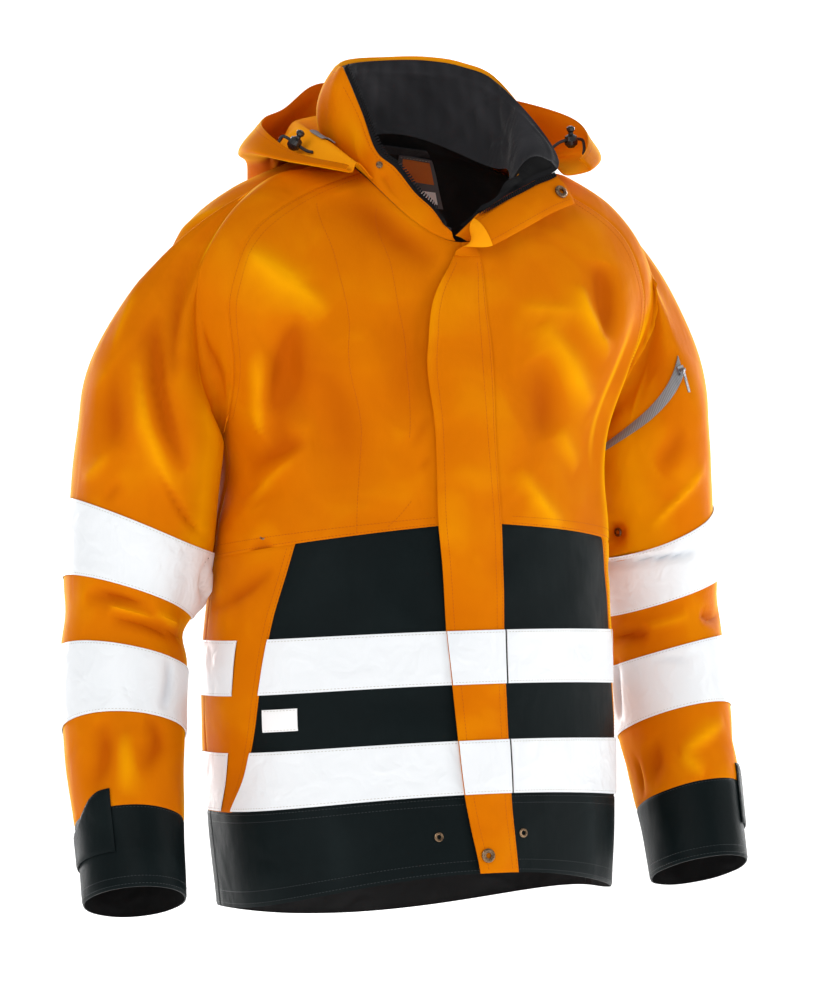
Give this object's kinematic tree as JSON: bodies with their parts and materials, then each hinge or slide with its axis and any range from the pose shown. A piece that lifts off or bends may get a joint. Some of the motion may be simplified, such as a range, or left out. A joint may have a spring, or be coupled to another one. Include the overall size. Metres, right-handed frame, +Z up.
{
  "type": "hi-vis work jacket",
  "caption": "Hooded raglan work jacket in orange and black with reflective tapes, filled out as if worn, zip open at the neck, hood hanging back, one hinged zip pull.",
  "frame": {"origin": "middle of the neck opening at shoulder level, where the wearer's shoulders and neck hold the jacket up", "axes": "+Z up along the wearer's spine, -Y to the wearer's front, +X to the wearer's left"},
  "size_m": [0.6966, 0.3563, 0.8389],
  "materials": {
    "orange_shell": "coated orange polyester, slight sheen",
    "black_shell": "coated black polyester",
    "reflective": "silver-white reflective tape",
    "collar_lining": "charcoal fleece",
    "body_lining": "near-black lining cloth",
    "grey_tape": "matte grey tape",
    "label_cloth": "woven label cloth",
    "black_plastic": "glossy moulded plastic",
    "black_cord": "braided elastic cord",
    "dark_metal": "gunmetal",
    "white_patch": "plain white patch"
  },
  "bodies": {
    "jacket": {"back": "orange_shell", "body_lining": "body_lining", "body_tape_1_back": "reflective", "body_tape_1_flap": "reflective", "body_tape_1_left": "reflective", "body_tape_1_right": "reflective", "body_tape_2_back": "reflective", "body_tape_2_flap": "reflective", "body_tape_2_left": "reflective", "body_tape_2_right": "reflective", "collar": "orange_shell", "collar_lining": "collar_lining", "cord_lock_left": "black_plastic", "cord_lock_right": "black_plastic", "cuff_left": "black_shell", "cuff_right": "black_shell", "cuff_tab_left": "black_shell", "cuff_tab_right": "black_shell", "eyelet_hem_left": "dark_metal", "eyelet_hem_right": "dark_metal", "eyelet_side_right": "dark_metal", "eyelet_sleeve_left": "dark_metal", "facing_left": "body_lining", "front_block_left": "black_shell", "front_block_right": "black_shell", "front_edge_left": "orange_shell", "front_upper_left": "orange_shell", "front_upper_right": "orange_shell", "hanger_loop": "body_lining", "hem_band_back": "black_shell", "hem_band_left": "black_shell", "hem_band_right": "black_shell", "hood": "orange_shell", "hood_cord_left": "black_cord", "hood_cord_right": "black_cord", "hood_strap": "grey_tape", "neck_label": "label_cloth", "pocket_patch": "white_patch", "side_strip_left": "orange_shell", "side_strip_right": "orange_shell", "sleeve_left": "orange_shell", "sleeve_right": "orange_shell", "sleeve_tape_1_left": "reflective", "sleeve_tape_1_right": "reflective", "sleeve_tape_2_left": "reflective", "sleeve_tape_2_right": "reflective", "sleeve_zip": "grey_tape", "sleeve_zip_slider": "dark_metal", "snap_collar_right": "dark_metal", "snap_flap_bottom": "dark_metal", "snap_flap_top": "dark_metal", "storm_flap": "orange_shell", "storm_flap_wing": "orange_shell", "zip_tape_left": "black_shell", "zip_tape_right": "black_shell"},
    "zip_pull": {"sleeve_zip_pull": "dark_metal"}
  },
  "joints": [
    {"name": "sleeve_zip_pull_hinge", "type": "hinge", "parent": "jacket", "child": "zip_pull", "pos_m": [0.26142, -0.06232, -0.17829], "axis": [-0.9464, -0.1246, -0.2979], "range_deg": [-12, 165]}
  ]
}
